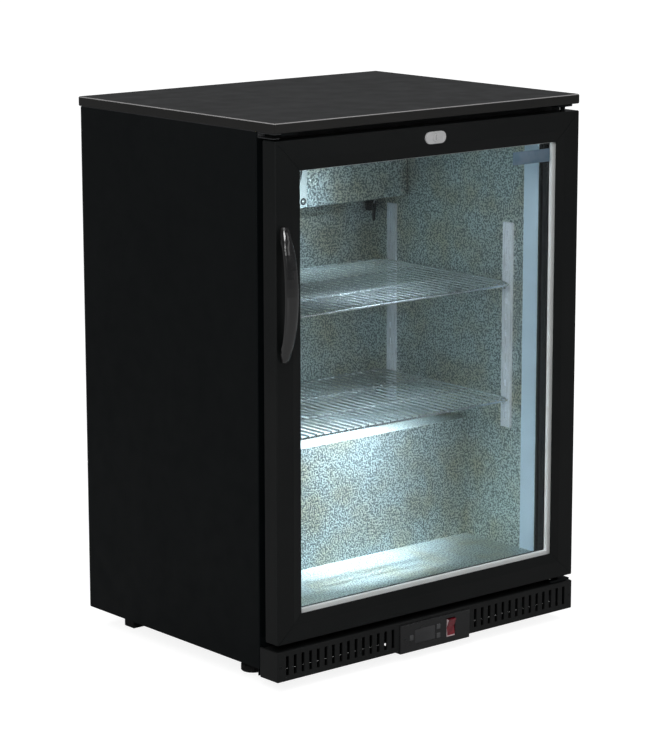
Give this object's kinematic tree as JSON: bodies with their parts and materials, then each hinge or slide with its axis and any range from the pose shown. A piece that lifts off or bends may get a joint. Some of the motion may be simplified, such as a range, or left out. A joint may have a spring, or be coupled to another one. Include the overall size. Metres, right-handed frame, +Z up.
{
  "type": "undercounter refrigerator",
  "caption": "Black undercounter bottle cooler with a right-hinged glass door, wire shelves, a kick grille with a control panel, levelling feet and a rear compressor bay.",
  "frame": {"origin": "on the floor, under the centre of the bounding box", "axes": "+Z up, the door faces -Y, and the door is hinged on the +X side"},
  "size_m": [0.6, 0.5, 0.835],
  "materials": {
    "cabinet_black": "satin",
    "worktop_grey": "satin",
    "door_black": "satin",
    "grille_black": "satin",
    "handle_black": "gloss",
    "liner_aluminium": "embossed",
    "galvanised_steel": "satin",
    "bracket_black": "satin",
    "shelf_chrome": "polished",
    "lock_chrome": "polished",
    "pane": "gloss",
    "spacer_aluminium": "satin",
    "seal_black": "matte",
    "foot_black": "matte",
    "rigid_foam": "matte",
    "fin_aluminium": "satin",
    "compressor_black": "gloss",
    "pipe_copper": "satin",
    "fan_black": "matte",
    "tray_black": "matte",
    "light_diffuser": "satin",
    "switch_red": "gloss",
    "button_grey": "satin"
  },
  "bodies": {
    "cabinet": {"base_tray": "cabinet_black", "compressor": "compressor_black", "condenser": "fin_aluminium", "condenser_fan_motor": "compressor_black", "controller_bezel": "grille_black", "discharge_line": "pipe_copper", "drip_tray": "tray_black", "evaporator_coil": "fin_aluminium", "evaporator_cover": "liner_aluminium", "evaporator_fan_motor": "galvanised_steel", "foam_insulation": "rigid_foam", "foot_rear_left": "foot_black", "foot_rear_right": "foot_black", "hinge_bracket_bottom": "bracket_black", "hinge_bracket_spare": "bracket_black", "hinge_bracket_top": "bracket_black", "inner_liner": "liner_aluminium", "kick_grille": "grille_black", "light_holder": "fin_aluminium", "light_tube": "light_diffuser", "liquid_line": "pipe_copper", "opening_trim": "grille_black", "pilaster_front_left": "liner_aluminium", "pilaster_front_right": "liner_aluminium", "pilaster_rear_left": "liner_aluminium", "pilaster_rear_right": "liner_aluminium", "rear_cover": "galvanised_steel", "rear_panel": "galvanised_steel", "shelf_clip_lower_front_left": "shelf_chrome", "shelf_clip_lower_front_right": "shelf_chrome", "shelf_clip_lower_rear_left": "shelf_chrome", "shelf_clip_lower_rear_right": "shelf_chrome", "shelf_clip_upper_front_left": "shelf_chrome", "shelf_clip_upper_front_right": "shelf_chrome", "shelf_clip_upper_rear_left": "shelf_chrome", "shelf_clip_upper_rear_right": "shelf_chrome", "side_panel_left": "cabinet_black", "side_panel_right": "cabinet_black", "suction_line": "pipe_copper", "top_panel": "worktop_grey"},
    "door": {"door_frame": "door_black", "glass_outer": "pane", "glass_inner": "pane", "glass_spacer": "spacer_aluminium", "door_gasket": "seal_black", "handle": "handle_black", "lock_body": "lock_chrome", "closer_spring": "galvanised_steel"},
    "lock_plug": {"lock_plug": "lock_chrome"},
    "lock_bolt": {"lock_bolt": "galvanised_steel"},
    "shelf_upper": {"shelf_upper": "shelf_chrome"},
    "shelf_lower": {"shelf_lower": "shelf_chrome"},
    "evaporator_fan": {"evaporator_fan": "fan_black"},
    "condenser_fan": {"condenser_fan": "fan_black"},
    "rocker_switch": {"rocker_switch": "switch_red"},
    "button_set": {"button_set": "button_grey"},
    "button_up": {"button_up": "button_grey"},
    "button_down": {"button_down": "button_grey"},
    "foot_front_left": {"foot_front_left": "foot_black"},
    "foot_front_right": {"foot_front_right": "foot_black"}
  },
  "joints": [
    {"name": "door_hinge", "type": "hinge", "parent": "cabinet", "child": "door", "pos_m": [0.278, -0.21, 0.45], "axis": [0, 0, 1], "range_deg": [0, 110], "stiffness_Nm_per_rad": 0.6, "springref_deg": -28.65},
    {"name": "lock_turn", "type": "hinge", "parent": "door", "child": "lock_plug", "pos_m": [0.0015, -0.225, 0.792], "axis": [0, 1, 0], "range_deg": [0, 90]},
    {"name": "lock_bolt_slide", "type": "slide", "parent": "door", "child": "lock_bolt", "axis": [0, 0, 1], "range_m": [0, 0.016]},
    {"name": "shelf_upper_lift", "type": "slide", "parent": "cabinet", "child": "shelf_upper", "axis": [0, 0, 1], "range_m": [0, 0.03]},
    {"name": "shelf_lower_lift", "type": "slide", "parent": "cabinet", "child": "shelf_lower", "axis": [0, 0, 1], "range_m": [0, 0.03]},
    {"name": "evaporator_fan_spin", "type": "hinge", "parent": "cabinet", "child": "evaporator_fan", "pos_m": [-0.015, 0.139, 0.708], "axis": [0, 1, 0], "continuous": true},
    {"name": "condenser_fan_spin", "type": "hinge", "parent": "cabinet", "child": "condenser_fan", "pos_m": [0.135, 0.086, 0.14], "axis": [0, 1, 0], "continuous": true},
    {"name": "rocker_tilt", "type": "hinge", "parent": "cabinet", "child": "rocker_switch", "pos_m": [0.039, -0.2235, 0.039], "axis": [-1, 0, 0], "range_deg": [0, 14]},
    {"name": "button_set_press", "type": "slide", "parent": "cabinet", "child": "button_set", "axis": [0, 1, 0], "range_m": [0, 0.0008], "stiffness_N_per_m": 600},
    {"name": "button_up_press", "type": "slide", "parent": "cabinet", "child": "button_up", "axis": [0, 1, 0], "range_m": [0, 0.0008], "stiffness_N_per_m": 600},
    {"name": "button_down_press", "type": "slide", "parent": "cabinet", "child": "button_down", "axis": [0, 1, 0], "range_m": [0, 0.0008], "stiffness_N_per_m": 600},
    {"name": "foot_front_left_turn", "type": "hinge", "parent": "cabinet", "child": "foot_front_left", "pos_m": [-0.248, -0.102, 0.02], "axis": [0, 0, 1], "continuous": true},
    {"name": "foot_front_right_turn", "type": "hinge", "parent": "cabinet", "child": "foot_front_right", "pos_m": [0.248, -0.102, 0.02], "axis": [0, 0, 1], "continuous": true}
  ],
  "couplings": [
    {"joint": "lock_turn", "follows": "lock_bolt_slide", "rad_per_m": 98.174}
  ]
}
